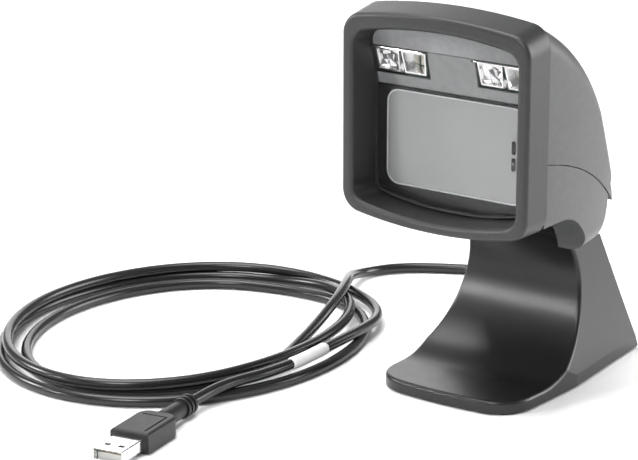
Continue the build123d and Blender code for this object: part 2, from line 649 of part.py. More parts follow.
# ---- stand ---------------------------------------------------------------------------------
def scoop_lines():
    """Front line of the stand: the foot's top, the hollow arc and the tighter arc under the tongue."""
    center = (SCOOP_CENTER_Y, FOOT_THICKNESS + SCOOP_R)
    turn = radians(SCOOP_TURN)
    upper = (center[0] + (SCOOP_R - TONGUE_R) * cos(turn), center[1] + (SCOOP_R - TONGUE_R) * sin(turn))
    lines = Line((FOOT_FRONT_Y, FOOT_THICKNESS), (SCOOP_CENTER_Y, FOOT_THICKNESS))
    lines += CenterArc(center, SCOOP_R, -90, 90 + SCOOP_TURN)
    lines += CenterArc(upper, TONGUE_R, SCOOP_TURN, TONGUE_END - SCOOP_TURN)
    end = radians(TONGUE_END)
    return lines, (upper[0] + TONGUE_R * cos(end), upper[1] + TONGUE_R * sin(end))


def stand_profile(bottom):
    """Side outline of foot, hollow front, tongue, barrel and straight back, down to a bottom height."""
    lines, tip = scoop_lines()
    tip_top = (tip[0], tip[1] + TONGUE_TIP)
    axis = (HINGE_Y, HINGE_Z)
    barrel_rear = (HINGE_Y + BARREL_R, HINGE_Z)
    shoulder = (BACK_TOP_Y, SHOULDER_Z)
    slope = (FOOT_REAR_Y - BACK_TOP_Y) / SHOULDER_Z
    heel = (FOOT_REAR_Y - slope * bottom, bottom)
    lines += Line(tip, tip_top)
    lines += Polyline(tip_top, axis, barrel_rear, shoulder, heel, (FOOT_FRONT_Y, bottom))
    lines += Line((FOOT_FRONT_Y, bottom), (FOOT_FRONT_Y, FOOT_THICKNESS))
    return make_face(lines) + Pos(*axis) * Circle(BARREL_R)


def stand_outline(foot_half, waist_half, inset):
    """Front outline of the stand below its shoulders, in x and z, smaller by inset."""
    half = foot_half - inset
    middle = waist_half - inset
    shoulder = (SHOULDER_HALF - inset, SHOULDER_Z - inset)
    lines = Polyline((-half, FOOT_THICKNESS), (-half, -FOOT_THICKNESS), (half, -FOOT_THICKNESS),
                     (half, FOOT_THICKNESS))
    lines += ThreePointArc((half, FOOT_THICKNESS), (middle, WAIST_Z), shoulder)
    lines += Line(shoulder, (-shoulder[0], shoulder[1]))
    lines += ThreePointArc((-shoulder[0], shoulder[1]), (-middle, WAIST_Z), (-half, FOOT_THICKNESS))
    return make_face(lines)


def stand_sides(inset):
    """Solid between the stand's flared sides: they narrow from a front outline to a rear one."""
    front = at_depth(stand_outline(FLARE_FRONT_HALF, WAIST_FRONT_HALF, inset), FOOT_FRONT_Y)
    rear = at_depth(stand_outline(FOOT_REAR_HALF, WAIST_REAR_HALF, inset), FOOT_REAR_Y)
    return loft([rear, front], ruled=True)


def stand_plan(inset):
    """Plan outline of the foot, smaller by inset: bowed front, round front corners, straight rear."""
    front_y = FOOT_FRONT_Y + FOOT_FRONT_BOW + inset
    rear_y = FOOT_REAR_Y - inset
    lines = ThreePointArc((inset - FOOT_FRONT_HALF, front_y), (0, FOOT_FRONT_Y + inset),
                          (FOOT_FRONT_HALF - inset, front_y))
    for side in (-1, 1):
        widest = (side * (FOOT_HALF - inset), FOOT_WIDEST_Y)
        lines += TangentArc(widest, (side * (FOOT_FRONT_HALF - inset), front_y), tangent=(0, -1))
        lines += Line(widest, (widest[0], rear_y))
    lines += Line((FOOT_HALF - inset, rear_y), (inset - FOOT_HALF, rear_y))
    face = make_face(lines)
    return fillet(face.vertices().sort_by(Axis.Y)[:2], FOOT_FRONT_R - inset)


def stand_block(inset, bottom):
    """Stand without its neck sides: the three outlines' common solid plus the neck, made smaller by inset."""
    profile = offset(stand_profile(bottom), -inset) if inset else stand_profile(bottom)
    plan = stand_plan(inset)
    body = side_slab(profile, 2 * FOOT_HALF) & stand_sides(inset)
    body = body & (Pos(0, 0, bottom) * extrude(plan, amount=HINGE_Z))
    if not inset:
        body = fillet(rim_edges(body), STAND_EDGE_R)
    neck_low = SHOULDER_Z / 2
    neck_half = BARREL_HALF - (BARREL_END_WALL if inset else 0)
    neck = side_slab(profile, neck_half)
    neck &= box_between((-FOOT_HALF, FOOT_FRONT_Y, neck_low), (FOOT_HALF, FOOT_REAR_Y, HINGE_Z + LOBE_R))
    return body + neck


def rim_edges(shape):
    """Edges of the stand between its hollow front and its sides, and round the foot's top."""
    chosen = []
    for edge in shape.edges():
        middle = edge.center()
        level = abs(middle.Z - FOOT_THICKNESS) < 0.01
        hollow = abs(middle.X) > NECK_RIM_X and middle.Y < SCOOP_CENTER_Y + SCOOP_R + 2
        if level or (hollow and FOOT_THICKNESS < middle.Z < SHOULDER_Z - 1):
            chosen.append(edge)
    return chosen


def cover_window(shrink):
    """Prism through the stand's back wall where the back cover sits, smaller all round by shrink."""
    outline = box_outline(-COVER_HALF + shrink, COVER_HALF - shrink, COVER_Z[0] + shrink,
                          COVER_Z[1] - shrink, 3.0)
    return front_slab(outline, BACK_TOP_Y - 8, FOOT_REAR_Y + 5)


def base_screw_places():
    """x and y of each of the base plate's screws."""
    return [(side * x, y) for x, y in BASE_SCREW_PLACES for side in (-1, 1)]


def make_stand_parts():
    """Stand shell, back cover and base plate."""
    outer = stand_block(0, FOOT_GAP)
    cavity = stand_block(STAND_WALL, FOOT_GAP - 3 * STAND_WALL)
    shell = outer - cavity
    bosses = Part()
    holes = Part()
    for x, y in base_screw_places():
        bosses += z_rod(BOSS_R, FOOT_GAP + PLATE_T, BOSS_TOP_Z, x, y)
        holes += z_rod(SCREW_R, 0, BASE_SCREW_LENGTH, x, y)
    shell += clipped(bosses, outer)
    back = box_between((-FOOT_HALF, SCOOP_CENTER_Y + SCOOP_R, 0), (FOOT_HALF, FOOT_REAR_Y + 5, SHOULDER_Z))
    shell = shell - clipped(cover_window(0), back) - holes
    for side in (-1, 1):
        shell -= x_rod(BUSH_R, min(0, side * PIN_HALF), max(0, side * PIN_HALF))
    skin = stand_block(COVER_RECESS, FOOT_GAP)
    skin -= stand_block(COVER_RECESS + COVER_T, FOOT_GAP - 3 * STAND_WALL)
    cover = clipped(clipped(skin, cover_window(COVER_CLEARANCE)), back)
    cover -= y_rod(RELIEF_R, RELIEF_FLANGE_Y, RELIEF_END_Y, 0, EXIT_Z)
    plate = stand_block(STAND_WALL + PLATE_CLEARANCE, FOOT_GAP - 3 * STAND_WALL)
    plate = clipped(plate, box_between((-FOOT_HALF, FOOT_FRONT_Y, FOOT_GAP),
                                       (FOOT_HALF, FOOT_REAR_Y, FOOT_GAP + PLATE_T)))
    for x, y in pad_places():
        plate -= z_rod(PAD_R + PAD_CLEARANCE, 0, FOOT_GAP + PAD_SEAT, x, y)
    return shell, cover, plate - holes


def pad_places():
    """x and y of each rubber foot."""
    return [(side * x, y) for x, y in PAD_PLACES for side in (-1, 1)]


def make_base_parts():
    """Rubber feet, ballast weight and the base plate's screws."""
    pads = Part()
    for x, y in pad_places():
        pads += z_rod(PAD_R, 0, FOOT_GAP + PAD_SEAT, x, y)
    floor = FOOT_GAP + PLATE_T
    ballast = Pos(0, BALLAST_Y, floor + BALLAST_SIZE[2] / 2) * Box(*BALLAST_SIZE)
    ballast = fillet(ballast.edges().filter_by(Axis.Z), 2.0)
    screws = Part()
    for x, y in base_screw_places():
        shank = z_rod(SCREW_R, FOOT_GAP, BASE_SCREW_LENGTH - 0.5, x, y)
        screws += shank + z_rod(SCREW_HEAD_R, FOOT_GAP - BASE_SCREW_HEAD_T, FOOT_GAP, x, y)
    return pads, ballast, screws


def make_exit_parts():
    """Strain relief in the back cover, and the clamp that holds the lead inside."""
    flange = y_rod(RELIEF_FLANGE_R, RELIEF_FLANGE_Y - RELIEF_FLANGE_T, RELIEF_FLANGE_Y, 0, EXIT_Z)
    barrel_end = FOOT_REAR_Y - 2
    barrel = y_rod(RELIEF_R, RELIEF_FLANGE_Y, barrel_end, 0, EXIT_Z)
    taper_length = RELIEF_END_Y - barrel_end
    taper = Pos(0, barrel_end + taper_length / 2, EXIT_Z) * Rot(-90, 0, 0)
    taper = taper * Cone(RELIEF_R, RELIEF_TIP_R, taper_length)
    relief = flange + barrel + taper
    relief -= y_rod(INNER_LEAD_D / 2, RELIEF_FLANGE_Y - 5, barrel_end, 0, EXIT_Z)
    top = FOOT_GAP + PLATE_T + BALLAST_SIZE[2]
    clamp = Pos(0, BALLAST_Y + 6, top + CLAMP_SIZE[2] / 2) * Box(*CLAMP_SIZE)
    clamp = fillet(clamp.edges().filter_by(Axis.Y).group_by(Axis.Z)[-1], 2.0)
    return relief, clamp


# ---- cord ----------------------------------------------------------------------------------
def corner_radii(points):
    """Largest even arc for each corner: 0.45 of its shorter run over the tangent of half its turn."""
    spots = [Vector(*p) for p in points]
    radii = []
    for before, here, after in zip(spots, spots[1:], spots[2:]):
        turn = (here - before).get_angle(after - here)
        run = min((here - before).length, (after - here).length)
        radii.append(0.45 * run / tan(radians(turn) / 2))
    return radii


def cord_tube(name, points, diameter):
    """Round tube along straight runs joined by tangent arcs; prints its radii, length and volume."""
    radii = corner_radii(points)
    path = FilletPolyline(*points, radius=radii)
    start = Plane(origin=points[0], z_dir=path % 0)
    tube = sweep(start * Circle(diameter / 2), path=path)
    section = pi * diameter ** 2 / 4
    print(f"{name}: radii {[round(r, 1) for r in radii]} mm, length {path.length:.1f} mm, "
          f"volume {tube.volume:.1f} of {section * path.length:.1f} mm3")
    return tube


def make_coil():
    """Outer shape of the loose coil: a flat oval ring."""
    outer = Ellipse(COIL_LONG + COIL_BAND_HALF, COIL_SHORT + COIL_BAND_HALF)
    inner = Ellipse(COIL_LONG - COIL_BAND_HALF, COIL_SHORT - COIL_BAND_HALF)
    ring = extrude(outer - inner, amount=COIL_HEIGHT)
    ring = fillet(ring.edges(), COIL_EDGE_R)
    return Pos(*COIL_CENTER, 0) * Rot(0, 0, COIL_TILT) * ring


def make_label():
    """Plain sleeve label wrapped round the cord."""
    ring = Cylinder(CORD_D / 2 + LABEL_T, LABEL_LENGTH) - Cylinder(CORD_D / 2, LABEL_LENGTH)
    return Pos(*LABEL_CENTER) * Rot(0, 0, LABEL_HEADING) * Rot(0, 90, 0) * ring


def make_plug_parts():
    """USB plug: ribbed strain relief, overmould, metal shell, tongue and contacts, drawn along +X."""
    r0, r1 = PLUG_RELIEF_R
    length, width, height = OVERMOULD
    axis_z = LEAD_POINTS[-1][2]
    relief = Pos(PLUG_RELIEF_LENGTH / 2, 0, 0) * Rot(0, 90, 0) * Cone(r0, r1, PLUG_RELIEF_LENGTH)
    for i in range(PLUG_RIBS):
        x = PLUG_RIB_T / 2 + i * PLUG_RIB_PITCH
        relief += Pos(x, 0, 0) * Rot(0, 90, 0) * Cylinder(PLUG_RIB_R, PLUG_RIB_T)
    shell_l, shell_w, shell_h = SHELL
    face_x = PLUG_RELIEF_LENGTH + length
    body = Pos(PLUG_RELIEF_LENGTH + length / 2, 0, height / 2 - axis_z) * Box(*OVERMOULD)
    rear = [e for e in body.edges().filter_by(Axis.Z) if e.center().X < face_x - 1]
    body = fillet(rear, OVERMOULD_REAR_R)
    rims = [e for e in body.edges() if abs(abs(e.center().Z - height / 2 + axis_z) - height / 2) < 0.01]
    body = fillet(rims, OVERMOULD_EDGE_R)
    top = height - axis_z
    x0 = PLUG_RELIEF_LENGTH + GROOVE_MARGIN + 2
    half = width / 2 - GROOVE_MARGIN
    body -= box_between((x0, half - GROOVE_T, top - GROOVE_DEPTH), (face_x - GROOVE_MARGIN, half, top + 1))
    body -= box_between((x0, -half, top - GROOVE_DEPTH), (x0 + GROOVE_T, half, top + 1))
    middle = height / 2 - axis_z
    seat = face_x - SHELL_SEAT
    tip = face_x + shell_l
    outer = Pos((seat + tip) / 2, 0, middle) * Box(tip - seat, shell_w, shell_h)
    outer = fillet(outer.edges().filter_by(Axis.X), 2 * SHELL_T)
    shell = outer - Pos((seat + tip) / 2, 0, middle) * Box(tip - seat, shell_w - 2 * SHELL_T,
                                                           shell_h - 2 * SHELL_T)
    for side in (-1, 1):
        hole = Pos(tip - LATCH_FROM_TIP, side * LATCH_SPACING / 2, middle)
        shell -= hole * Box(LATCH_HOLE, LATCH_HOLE, 2 * shell_h)
    body -= outer
    block_x, block_w, block_h = TONGUE_BLOCK
    floor = middle - shell_h / 2 + SHELL_T
    tongue = box_between((seat, -block_w / 2, floor), (seat + block_x, block_w / 2, floor + block_h))
    contacts = Part()
    for i in range(4):
        y = (i - 1.5) * CONTACT_PITCH
        x1 = seat + block_x - 1
        contacts += box_between((x1 - CONTACT[0], y - CONTACT[1] / 2, floor + block_h),
                                (x1, y + CONTACT[1] / 2, floor + block_h + CONTACT[2]))
    place = Pos(*LEAD_POINTS[-1]) * Rot(0, 0, PLUG_HEADING)
    return [place * piece for piece in (relief, body, shell, tongue, contacts)]


# ---- assembly ------------------------------------------------------------------------------
def make_parts():
    """Every part by name."""
    parts = {"front_bezel": make_bezel()}
    parts["rear_housing"], parts["lower_cover"] = make_head_shells()
    names = ("scan_window", "window_mask", "reflector_panel", "upper_panel")
    parts.update(zip(names, make_window_parts()))
    parts["reflector_right"] = make_reflector()
    parts["reflector_left"] = mirror(parts["reflector_right"], about=Plane.YZ)
    parts["led_board"], parts["led_emitters"] = make_led_parts()
    parts["optics_frame"] = make_optics_frame()
    parts["optics_chamber"] = make_chamber()
    parts["fold_mirror"] = make_mirror()
    parts["head_screws"] = make_head_screws()
    parts["imager_module"], parts["imager_lens"] = make_imager()
    names = ("main_board", "board_chips", "board_connector", "beeper", "board_posts")
    parts.update(zip(names, make_board_parts()))
    pin, bush, washers, retainers, clip = make_hinge_parts()
    parts["hinge_pin"] = pin
    parts["hinge_bush_right"] = bush
    parts["hinge_bush_left"] = mirror(bush, about=Plane.YZ)
    parts["thrust_washers"] = washers
    parts["pin_retainers"] = retainers
    parts["friction_clip"] = clip
    parts["head_lead"] = cord_tube("head_lead", HEAD_LEAD_POINTS, INNER_LEAD_D)
    parts["stand_shell"], parts["stand_back_cover"], parts["base_plate"] = make_stand_parts()
    parts["rubber_feet"], parts["ballast_weight"], parts["base_screws"] = make_base_parts()
    parts["inner_lead"] = cord_tube("inner_lead", INNER_LEAD_POINTS, INNER_LEAD_D)
    parts["cord_strain_relief"], clamp = make_exit_parts()
    parts["lead_clamp"] = clamp - parts["inner_lead"]
    parts["cord_tail"] = cord_tube("cord_tail", TAIL_POINTS, CORD_D)
    parts["cord_lead"] = cord_tube("cord_lead", LEAD_POINTS, CORD_D)
    parts["cord_coil"] = make_coil()
    parts["cord_label"] = make_label()
    names = ("plug_strain_relief", "plug_overmould", "plug_shell", "plug_tongue", "plug_contacts")
    parts.update(zip(names, make_plug_parts()))
    return parts


for part_name, part_shape in make_parts().items():
    emit(part_name, part_shape)
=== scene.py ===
"""Looks of a hands-free presentation barcode scanner: window head, sculpted stand and coiled USB cord."""

import logging
from dataclasses import dataclass, field
from enum import Enum

import bpy
import numpy as np
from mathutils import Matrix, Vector


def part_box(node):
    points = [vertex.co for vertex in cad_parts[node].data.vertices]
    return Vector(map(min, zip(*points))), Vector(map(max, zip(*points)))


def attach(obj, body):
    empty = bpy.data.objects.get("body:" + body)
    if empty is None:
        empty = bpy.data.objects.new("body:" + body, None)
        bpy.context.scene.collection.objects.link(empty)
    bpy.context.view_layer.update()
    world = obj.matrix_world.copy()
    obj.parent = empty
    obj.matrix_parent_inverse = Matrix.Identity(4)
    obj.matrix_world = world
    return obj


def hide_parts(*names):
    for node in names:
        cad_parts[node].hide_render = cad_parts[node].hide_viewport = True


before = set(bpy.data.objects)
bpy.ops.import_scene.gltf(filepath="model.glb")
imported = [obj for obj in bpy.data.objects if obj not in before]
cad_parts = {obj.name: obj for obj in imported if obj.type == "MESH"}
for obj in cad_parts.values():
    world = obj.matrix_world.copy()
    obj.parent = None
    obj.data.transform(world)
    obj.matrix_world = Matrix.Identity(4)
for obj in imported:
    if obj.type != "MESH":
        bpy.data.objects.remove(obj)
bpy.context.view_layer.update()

MM = 0.001
LOG = logging.getLogger("scanner")
Point = tuple[float, float, float]
Colour = tuple[float, float, float]

COAT_ROUGHNESS = 0.06
TONE_RAMP = (0.3, 0.7)          # noise levels at which a colour's dark and light tones are reached
ROUGHNESS_DRIFT = 0.12          # share by which roughness varies over a piece
ROUGHNESS_PATCH_MM = 9.0        # width of the patches of even roughness
BRUSH_STRETCH = 0.04            # a brushed scratch is this much finer along X than across


class Surface(Enum):
    """How a surface was made, which sets the pattern of its relief."""

    GRAINED = "spark-eroded mould"
    POLISHED = "polished mould"
    BRUSHED = "brushed metal"
    PLATED = "bright plating"


@dataclass(frozen=True)
class Finish:
    """A procedural material: colour with a faint mottle, uneven roughness and a fine relief.

    Args:
        name: material name, in a maker's words.
        colour: linear base colour.
        roughness: mean roughness.
        surface: kind of relief.
        mottle: share by which the colour varies over the piece.
        grain_mm: width of one grain of the relief.
        relief_mm: depth of the relief.
        metallic: 0 for plastics, 1 for metals.
        coat: clear coat weight.
        alpha: opacity of a thin clear piece.
    """

    name: str
    colour: Colour
    roughness: float
    surface: Surface = Surface.GRAINED
    mottle: float = 0.1
    grain_mm: float = 0.45
    relief_mm: float = 0.05
    metallic: float = 0.0
    coat: float = 0.0
    alpha: float = 1.0

    def build(self) -> bpy.types.Material:
        """Make the node material.

        Returns:
            The new material.
        """
        material = bpy.data.materials.new(self.name)
        material.use_nodes = True
        tree = material.node_tree
        shader = tree.nodes["Principled BSDF"]
        shader.inputs["Metallic"].default_value = self.metallic
        shader.inputs["Coat Weight"].default_value = self.coat
        shader.inputs["Coat Roughness"].default_value = COAT_ROUGHNESS
        shader.inputs["Alpha"].default_value = self.alpha
        place = tree.nodes.new("ShaderNodeTexCoord").outputs["Object"]
        self._colour(tree, place, shader)
        self._roughness(tree, place, shader)
        self._relief(tree, place, shader)
        return material

    def _noise(self, tree: bpy.types.NodeTree, place: bpy.types.NodeSocket, width_mm: float,
               detail: float) -> bpy.types.NodeSocket:
        """Add a noise texture with features of the given width and return its factor."""
        noise = tree.nodes.new("ShaderNodeTexNoise")
        noise.inputs["Scale"].default_value = 1.0 / (width_mm * MM)
        noise.inputs["Detail"].default_value = detail
        tree.links.new(place, noise.inputs["Vector"])
        return noise.outputs["Fac"]

    def _colour(self, tree: bpy.types.NodeTree, place: bpy.types.NodeSocket,
                shader: bpy.types.Node) -> None:
        """Blend a darker and a lighter tone of the colour with two sizes of noise."""
        ramp = tree.nodes.new("ShaderNodeValToRGB")
        shares = (1 - self.mottle, 1 + self.mottle)
        for element, place_on_ramp, share in zip(ramp.color_ramp.elements, TONE_RAMP, shares):
            element.position = place_on_ramp
            element.color = (*[min(1.0, c * share) for c in self.colour], 1.0)
        tree.links.new(self._noise(tree, place, 2.5 * self.grain_mm + 1.0, 4.0), ramp.inputs["Fac"])
        tree.links.new(ramp.outputs["Color"], shader.inputs["Base Color"])

    def _roughness(self, tree: bpy.types.NodeTree, place: bpy.types.NodeSocket,
                   shader: bpy.types.Node) -> None:
        """Let the roughness drift either way in patches over the piece."""
        spread = tree.nodes.new("ShaderNodeMapRange")
        spread.inputs["To Min"].default_value = self.roughness * (1 - ROUGHNESS_DRIFT)
        spread.inputs["To Max"].default_value = min(1.0, self.roughness * (1 + ROUGHNESS_DRIFT))
        tree.links.new(self._noise(tree, place, ROUGHNESS_PATCH_MM, 3.0), spread.inputs["Value"])
        tree.links.new(spread.outputs["Result"], shader.inputs["Roughness"])

    def _relief(self, tree: bpy.types.NodeTree, place: bpy.types.NodeSocket,
                shader: bpy.types.Node) -> None:
        """Raise the surface by noise: round grains, or long scratches on brushed metal."""
        if self.surface is Surface.BRUSHED:
            stretch = tree.nodes.new("ShaderNodeMapping")
            stretch.inputs["Scale"].default_value = (BRUSH_STRETCH, 1.0, 1.0)
            tree.links.new(place, stretch.inputs["Vector"])
            place = stretch.outputs["Vector"]
        bump = tree.nodes.new("ShaderNodeBump")
        bump.inputs["Distance"].default_value = self.relief_mm * MM
        bump.inputs["Strength"].default_value = 0.6 if self.surface is Surface.GRAINED else 0.3
        detail = 3.0 if self.surface is Surface.GRAINED else 1.0
        tree.links.new(self._noise(tree, place, self.grain_mm, detail), bump.inputs["Height"])
        tree.links.new(bump.outputs["Normal"], shader.inputs["Normal"])


def grained(name: str, tone: float, roughness: float = 0.42) -> Finish:
    """Neutral moulded plastic with a fine grain; tone is its linear grey."""
    return Finish(name, (tone, tone * 1.01, tone * 1.03), roughness)


def polished(name: str, colour: Colour, roughness: float = 0.18, coat: float = 0.0) -> Finish:
    """Smooth moulded plastic or lacquer."""
    return Finish(name, colour, roughness, Surface.POLISHED, 0.03, 1.2, 0.006, coat=coat)


def metal(name: str, colour: Colour, roughness: float, surface: Surface) -> Finish:
    """Bare or plated metal."""
    return Finish(name, colour, roughness, surface, 0.03, 0.5, 0.005, metallic=1.0)


@dataclass
class Workshop:
    """Makes mesh objects from numpy grids and dresses them and the CAD nodes."""

    finishes: dict[str, bpy.types.Material] = field(default_factory=dict)

    def material(self, finish: Finish) -> bpy.types.Material:
        """The finish's material, built once."""
        if finish.name not in self.finishes:
            self.finishes[finish.name] = finish.build()
        return self.finishes[finish.name]

    def dress(self, node: str, finish: Finish) -> None:
        """Give a CAD node a finish in place of its plain material."""
        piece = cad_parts[node]
        piece.data.materials.clear()
        piece.data.materials.append(self.material(finish))

    def grid(self, name: str, points: np.ndarray, finish: Finish, wrap_u: bool = False,
             wrap_v: bool = False, caps: bool = False) -> bpy.types.Object:
        """Make a smooth mesh from a grid of points.

        Args:
            name: object name.
            points: array (rows, columns, 3) in metres; faces point outwards when the rows run
                along the piece and the columns turn anticlockwise seen from its far end.
            finish: its finish.
            wrap_u: the last row joins the first.
            wrap_v: the last column joins the first.
            caps: close the first and last rows with a face each.

        Returns:
            The linked object, at the origin.
        """
        rows, columns = points.shape[:2]
        u = np.arange(rows if wrap_u else rows - 1)
        v = np.arange(columns if wrap_v else columns - 1)
        uu, vv = np.meshgrid(u, v, indexing="ij")
        u1, v1 = (uu + 1) % rows, (vv + 1) % columns
        quads = np.stack([uu * columns + vv, uu * columns + v1, u1 * columns + v1,
                          u1 * columns + vv], axis=-1)
        faces = quads.reshape(-1, 4).tolist()
        if caps:
            faces.append(list(range(columns))[::-1])
            faces.append(list(range((rows - 1) * columns, rows * columns)))
        mesh = bpy.data.meshes.new(name)
        mesh.from_pydata(points.reshape(-1, 3).tolist(), [], faces)
        mesh.shade_smooth()
        mesh.materials.append(self.material(finish))
        piece = bpy.data.objects.new(name, mesh)
        bpy.context.scene.collection.objects.link(piece)
        return piece


def rounded_rectangle(half_w: float, half_h: float, corner: float, steps: int = 10) -> np.ndarray:
    """Points round a rectangle with circular corners: each corner's centre plus a quarter turn.

    Args:
        half_w: half the width.
        half_h: half the height.
        corner: corner radius.
        steps: points on each corner.

    Returns:
        Array (4 * steps, 2), anticlockwise.
    """
    angle = np.linspace(0, np.pi / 2, steps)
    turns = np.arange(4)[:, None] * np.pi / 2 + angle[None, :]
    centre_x = (half_w - corner) * np.array([1, -1, -1, 1])[:, None]
    centre_z = (half_h - corner) * np.array([1, 1, -1, -1])[:, None]
    x = centre_x + corner * np.cos(turns)
    z = centre_z + corner * np.sin(turns)
    return np.stack([x.ravel(), z.ravel()], axis=-1)


def tube_rings(line: np.ndarray, radius: np.ndarray, sides: int) -> np.ndarray:
    """Rings round a line: at each point, radius times (cos t, sin t) in the plane across the line.

    The plane's first direction is level, so the rings don't twist.

    Args:
        line: array (n, 3) of centres.
        radius: array (n,) of radii.
        sides: points on each ring.

    Returns:
        Array (n, sides, 3).
    """
    tangent = np.gradient(line, axis=0)
    tangent /= np.linalg.norm(tangent, axis=1, keepdims=True)
    side = np.cross(tangent, np.array([0.0, 0.0, 1.0]))
    side /= np.linalg.norm(side, axis=1, keepdims=True)
    up = np.cross(side, tangent)
    t = np.linspace(0, 2 * np.pi, sides, endpoint=False)
    ring = side[:, None, :] * np.cos(t)[None, :, None] + up[:, None, :] * np.sin(t)[None, :, None]
    return line[:, None, :] + radius[:, None, None] * ring[:, ::-1, :]


@dataclass(frozen=True)
class Softbox:
    """A square area light that faces a point."""

    name: str
    place: Point
    aim: Point
    size: float
    power: float


@dataclass(frozen=True)
class Spotlight:
    """A soft spotlight that faces a point."""

    name: str
    place: Point
    aim: Point
    radius: float
    cone_deg: float
    power: float


@dataclass
class Studio:
    """Camera, pale floor and soft lights."""

    eye: Point = (0.5088, -0.8118, 0.3365)
    aim: Point = (-0.0503, -0.0537, 0.0600)
    lens_mm: float = 148.6
    sensor_mm: float = 36.0
    floor_half: float = 3.0
    floor_tone: float = 0.97
    world_strength: float = 0.26
    softboxes: tuple[Softbox, ...] = (
        Softbox("right_rear", (1.0, 1.1, 0.5), (0, 0, 0.08), 1.0, 21.0),
        Softbox("top", (-0.3, -0.1, 1.3), (0, 0, 0.0), 0.9, 18.0),
        Softbox("left_front", (-1.15, -0.5, 0.6), (0, 0, 0.06), 0.3, 8.0),
        Softbox("front_top", (0.25, -1.2, 0.95), (0, 0, 0.06), 0.4, 9.0),
        Softbox("left_rear", (-1.0, 1.0, 0.4), (0, -0.03, 0.02), 0.9, 5.0),
    )
    accent: Spotlight = Spotlight("stand_accent", (-0.74, -0.97, 0.47), (-0.026, -0.005, 0.043),
                                  0.1, 2.8, 380.0)

    def camera(self) -> None:
        """Place the camera and make it the scene's own."""
        data = bpy.data.cameras.new("camera")
        data.lens = self.lens_mm
        data.sensor_width = self.sensor_mm
        data.clip_end = 20.0
        camera = bpy.data.objects.new("camera", data)
        camera.location = self.eye
        look = Vector(self.aim) - Vector(self.eye)
        camera.rotation_euler = look.to_track_quat("-Z", "Y").to_euler()
        bpy.context.scene.collection.objects.link(camera)
        bpy.context.scene.camera = camera
        bpy.context.scene.view_settings.view_transform = "Standard"

    def _hang(self, light: Softbox | Spotlight, data: bpy.types.Light) -> None:
        """Put a light's data in the scene, turned towards its aim."""
        data.energy = light.power
        lamp = bpy.data.objects.new(light.name, data)
        lamp.location = light.place
        look = Vector(light.aim) - Vector(light.place)
        lamp.rotation_euler = look.to_track_quat("-Z", "Y").to_euler()
        bpy.context.scene.collection.objects.link(lamp)

    def _softbox(self, light: Softbox) -> None:
        """Add a square area light."""
        data = bpy.data.lights.new(light.name, "AREA")
        data.size = light.size
        self._hang(light, data)

    def _spotlight(self, light: Spotlight) -> None:
        """Add a soft spotlight."""
        data = bpy.data.lights.new(light.name, "SPOT")
        data.shadow_soft_size = light.radius
        data.spot_size = np.radians(light.cone_deg)
        data.spot_blend = 1.0
        self._hang(light, data)

    def build(self, shop: Workshop) -> None:
        """Make the floor, world and lights.

        Args:
            shop: where the floor's finish is made.
        """
        half = self.floor_half
        edge = np.linspace(-half, half, 3)
        x, y = np.meshgrid(edge, edge, indexing="ij")
        points = np.stack([x, y, np.zeros_like(x)], axis=-1)
        paper = Finish("studio_paper", (self.floor_tone,) * 3, 0.9, mottle=0.005, grain_mm=3.0)
        floor = shop.grid("studio_floor", points, paper)
        floor.data.flip_normals()
        world = bpy.data.worlds.new("studio")
        bpy.context.scene.world = world
        world.use_nodes = True
        background = world.node_tree.nodes["Background"]
        background.inputs["Color"].default_value = (1.0, 1.0, 1.0, 1.0)
        background.inputs["Strength"].default_value = self.world_strength
        for box in self.softboxes:
            self._softbox(box)
        self._spotlight(self.accent)


